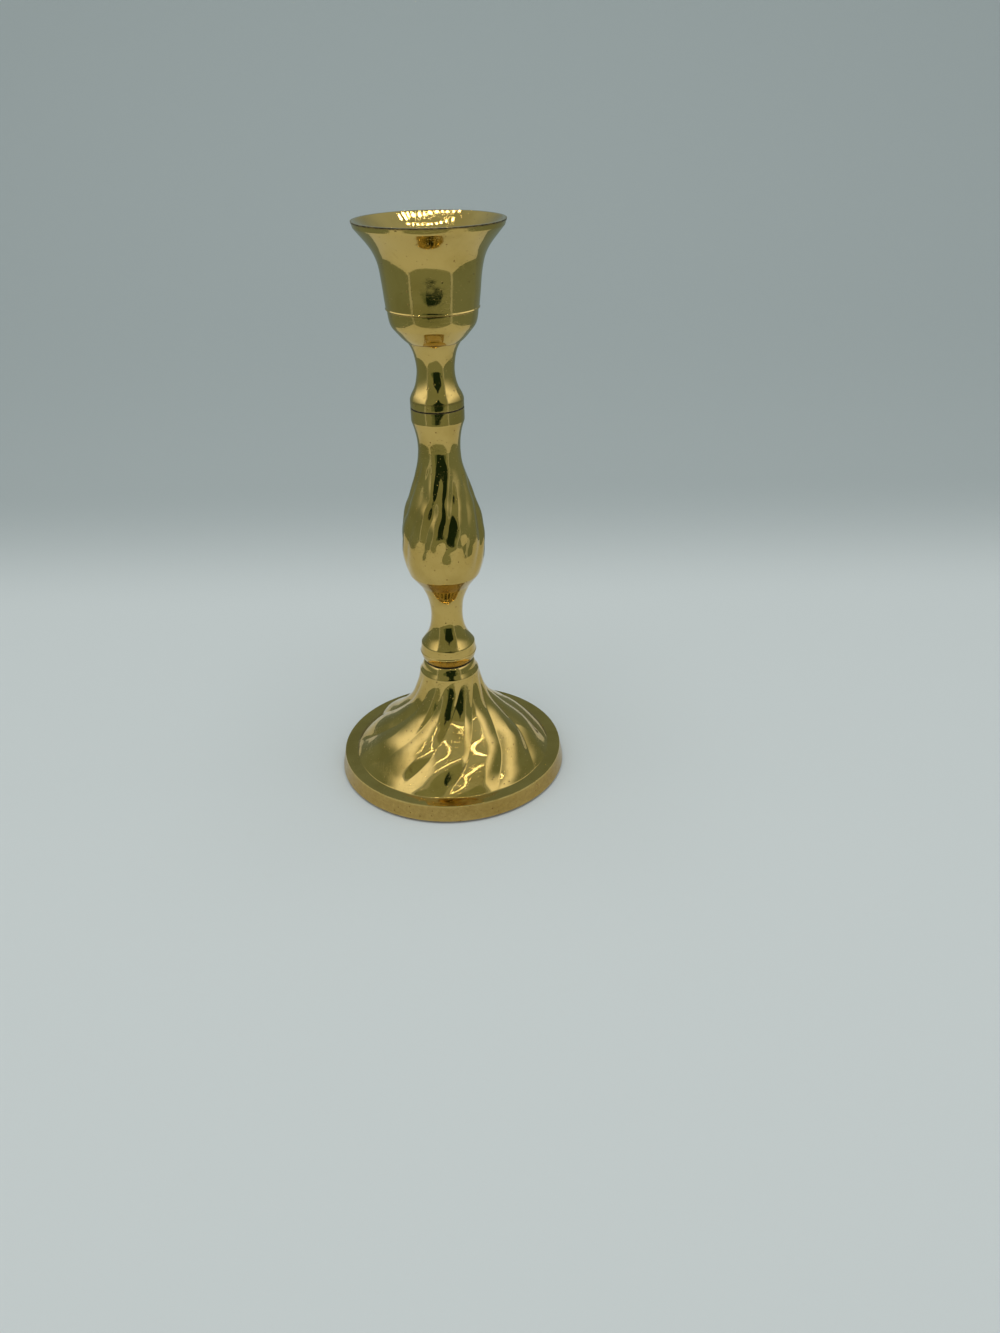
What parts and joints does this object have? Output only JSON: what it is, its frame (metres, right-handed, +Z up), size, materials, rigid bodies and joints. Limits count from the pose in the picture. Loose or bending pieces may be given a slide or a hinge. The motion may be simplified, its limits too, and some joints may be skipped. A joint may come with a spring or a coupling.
{
  "type": "candle holder",
  "caption": "Turned brass candlestick with a twisted lobed foot, a baluster stem and a flared cup that holds a taper candle.",
  "frame": {"origin": "on the floor, at the middle of the round foot", "axes": "+Z up the stem to the candle, -Y towards the viewer"},
  "size_m": [0.0778, 0.0778, 0.178],
  "materials": {
    "brass": "polished, with fine scratches, small pits and dark residue in the seams and valleys",
    "steel": "plain zinc grey",
    "card": "plain grey-brown board",
    "felt": "dark maroon pressed felt with lint"
  },
  "bodies": {
    "root": {"candle_cup": "brass", "stem": "brass", "base": "brass", "tie_rod": "steel", "washer": "steel", "spring_washer": "steel", "hex_nut": "steel", "backing_card": "card", "felt_pad": "felt"}
  },
  "joints": []
}
